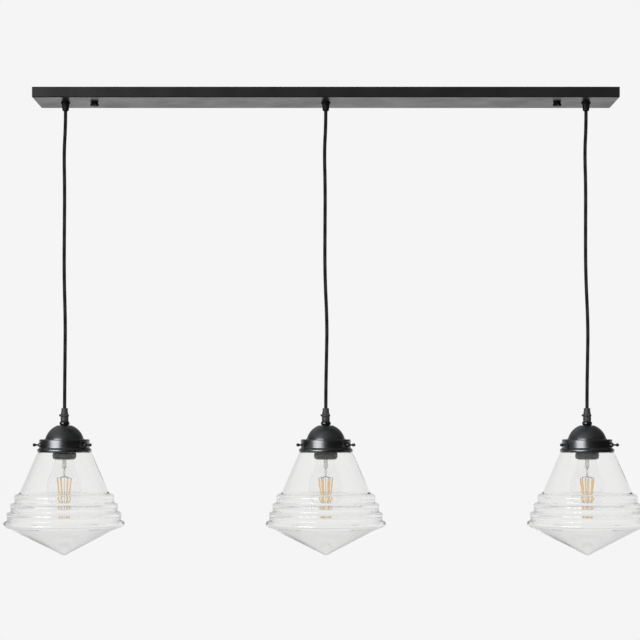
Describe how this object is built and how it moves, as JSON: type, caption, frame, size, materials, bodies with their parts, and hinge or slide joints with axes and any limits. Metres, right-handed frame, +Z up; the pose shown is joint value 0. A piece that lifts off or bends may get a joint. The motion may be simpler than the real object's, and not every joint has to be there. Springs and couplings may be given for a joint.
{
  "type": "linear island pendant lamp",
  "caption": "Long flat rectangular canopy bar with cord-hung lamp heads: domed cap, gallery and stepped clear glass cone shade round a filament bulb; heads swing, bulbs and screws release.",
  "frame": {"origin": "middle of the ceiling face: the bracket's top face, on the canopy's centre", "axes": "+Z up, +X along the canopy to the viewer's right, -Y towards the viewer"},
  "size_m": [1.107, 0.207, 0.799],
  "materials": {
    "tray": "satin near-black powder coat",
    "bracket": "zinc-plated sheet steel",
    "nuts": "satin black",
    "grips": "black plastic, slightly glossy",
    "hardware": "plain brass",
    "block": "off-white moulded plastic",
    "inner_cord": "black sheath",
    "cord": "black braided textile",
    "core": "bare copper strands, hidden",
    "clamp": "dark grey, lightly textured",
    "collar": "gloss black",
    "cap": "satin black",
    "thumb_screw": "satin black",
    "shade_glass": "clear, polished",
    "lampholder": "black glazed ceramic, satin",
    "contacts": "plain brass",
    "bulb_cap": "threaded shell, plain",
    "bulb_glass": "clear, polished",
    "stem_glass": "clear, slightly milky",
    "filament": "warm orange coating"
  },
  "bodies": {
    "canopy": {"canopy_tray": "tray", "ceiling_bracket": "bracket", "cord_grips": "grips", "grip_locknuts": "hardware", "terminal_block": "block", "terminal_screws": "hardware", "inner_cords": "inner_cord"},
    "thumb_nut_left": {"thumb_nut_left": "nuts"},
    "thumb_nut_right": {"thumb_nut_right": "nuts"},
    "left_link": {"left_cord_core": "core"},
    "left_lamp": {"left_cord": "cord", "left_cord_clamp": "clamp", "left_collar": "collar", "left_nipple": "hardware", "left_dome": "cap", "left_gallery": "cap", "left_shade": "shade_glass", "left_lampholder": "lampholder", "left_contacts": "contacts"},
    "left_screw_rear": {"left_thumb_screw_rear": "thumb_screw"},
    "left_screw_left": {"left_thumb_screw_left": "thumb_screw"},
    "left_screw_right": {"left_thumb_screw_right": "thumb_screw"},
    "left_bulb": {"left_bulb_cap": "bulb_cap", "left_bulb_glass": "bulb_glass", "left_bulb_stem": "stem_glass", "left_filaments": "filament"},
    "centre_link": {"centre_cord_core": "core"},
    "centre_lamp": {"centre_cord": "cord", "centre_cord_clamp": "clamp", "centre_collar": "collar", "centre_nipple": "hardware", "centre_dome": "cap", "centre_gallery": "cap", "centre_shade": "shade_glass", "centre_lampholder": "lampholder", "centre_contacts": "contacts"},
    "centre_screw_rear": {"centre_thumb_screw_rear": "thumb_screw"},
    "centre_screw_left": {"centre_thumb_screw_left": "thumb_screw"},
    "centre_screw_right": {"centre_thumb_screw_right": "thumb_screw"},
    "centre_bulb": {"centre_bulb_cap": "bulb_cap", "centre_bulb_glass": "bulb_glass", "centre_bulb_stem": "stem_glass", "centre_filaments": "filament"},
    "right_link": {"right_cord_core": "core"},
    "right_lamp": {"right_cord": "cord", "right_cord_clamp": "clamp", "right_collar": "collar", "right_nipple": "hardware", "right_dome": "cap", "right_gallery": "cap", "right_shade": "shade_glass", "right_lampholder": "lampholder", "right_contacts": "contacts"},
    "right_screw_rear": {"right_thumb_screw_rear": "thumb_screw"},
    "right_screw_left": {"right_thumb_screw_left": "thumb_screw"},
    "right_screw_right": {"right_thumb_screw_right": "thumb_screw"},
    "right_bulb": {"right_bulb_cap": "bulb_cap", "right_bulb_glass": "bulb_glass", "right_bulb_stem": "stem_glass", "right_filaments": "filament"}
  },
  "joints": [
    {"name": "thumb_nut_left_off", "type": "slide", "parent": "canopy", "child": "thumb_nut_left", "axis": [0, 0, -1], "range_m": [0, 0.008]},
    {"name": "thumb_nut_right_off", "type": "slide", "parent": "canopy", "child": "thumb_nut_right", "axis": [0, 0, -1], "range_m": [0, 0.008]},
    {"name": "left_swing_fore_aft", "type": "hinge", "parent": "canopy", "child": "left_link", "pos_m": [-0.45, 0, -0.03], "axis": [1, 0, 0], "range_deg": [-20, 20]},
    {"name": "left_swing_sideways", "type": "hinge", "parent": "left_link", "child": "left_lamp", "pos_m": [-0.45, 0, -0.03], "axis": [0, 1, 0], "range_deg": [-9, 9]},
    {"name": "left_screw_rear_out", "type": "slide", "parent": "left_lamp", "child": "left_screw_rear", "axis": [0, 1, 0], "range_m": [0, 0.006]},
    {"name": "left_screw_left_out", "type": "slide", "parent": "left_lamp", "child": "left_screw_left", "axis": [-0.866, -0.5, 0], "range_m": [0, 0.006]},
    {"name": "left_screw_right_out", "type": "slide", "parent": "left_lamp", "child": "left_screw_right", "axis": [0.866, -0.5, 0], "range_m": [0, 0.006]},
    {"name": "left_bulb_out", "type": "slide", "parent": "left_lamp", "child": "left_bulb", "axis": [0, 0, -1], "range_m": [0, 0.025]},
    {"name": "centre_swing_fore_aft", "type": "hinge", "parent": "canopy", "child": "centre_link", "pos_m": [0, 0, -0.03], "axis": [1, 0, 0], "range_deg": [-20, 20]},
    {"name": "centre_swing_sideways", "type": "hinge", "parent": "centre_link", "child": "centre_lamp", "pos_m": [0, 0, -0.03], "axis": [0, 1, 0], "range_deg": [-9, 9]},
    {"name": "centre_screw_rear_out", "type": "slide", "parent": "centre_lamp", "child": "centre_screw_rear", "axis": [0, 1, 0], "range_m": [0, 0.006]},
    {"name": "centre_screw_left_out", "type": "slide", "parent": "centre_lamp", "child": "centre_screw_left", "axis": [-0.866, -0.5, 0], "range_m": [0, 0.006]},
    {"name": "centre_screw_right_out", "type": "slide", "parent": "centre_lamp", "child": "centre_screw_right", "axis": [0.866, -0.5, 0], "range_m": [0, 0.006]},
    {"name": "centre_bulb_out", "type": "slide", "parent": "centre_lamp", "child": "centre_bulb", "axis": [0, 0, -1], "range_m": [0, 0.025]},
    {"name": "right_swing_fore_aft", "type": "hinge", "parent": "canopy", "child": "right_link", "pos_m": [0.45, 0, -0.03], "axis": [1, 0, 0], "range_deg": [-20, 20]},
    {"name": "right_swing_sideways", "type": "hinge", "parent": "right_link", "child": "right_lamp", "pos_m": [0.45, 0, -0.03], "axis": [0, 1, 0], "range_deg": [-9, 9]},
    {"name": "right_screw_rear_out", "type": "slide", "parent": "right_lamp", "child": "right_screw_rear", "axis": [0, 1, 0], "range_m": [0, 0.006]},
    {"name": "right_screw_left_out", "type": "slide", "parent": "right_lamp", "child": "right_screw_left", "axis": [-0.866, -0.5, 0], "range_m": [0, 0.006]},
    {"name": "right_screw_right_out", "type": "slide", "parent": "right_lamp", "child": "right_screw_right", "axis": [0.866, -0.5, 0], "range_m": [0, 0.006]},
    {"name": "right_bulb_out", "type": "slide", "parent": "right_lamp", "child": "right_bulb", "axis": [0, 0, -1], "range_m": [0, 0.025]}
  ]
}
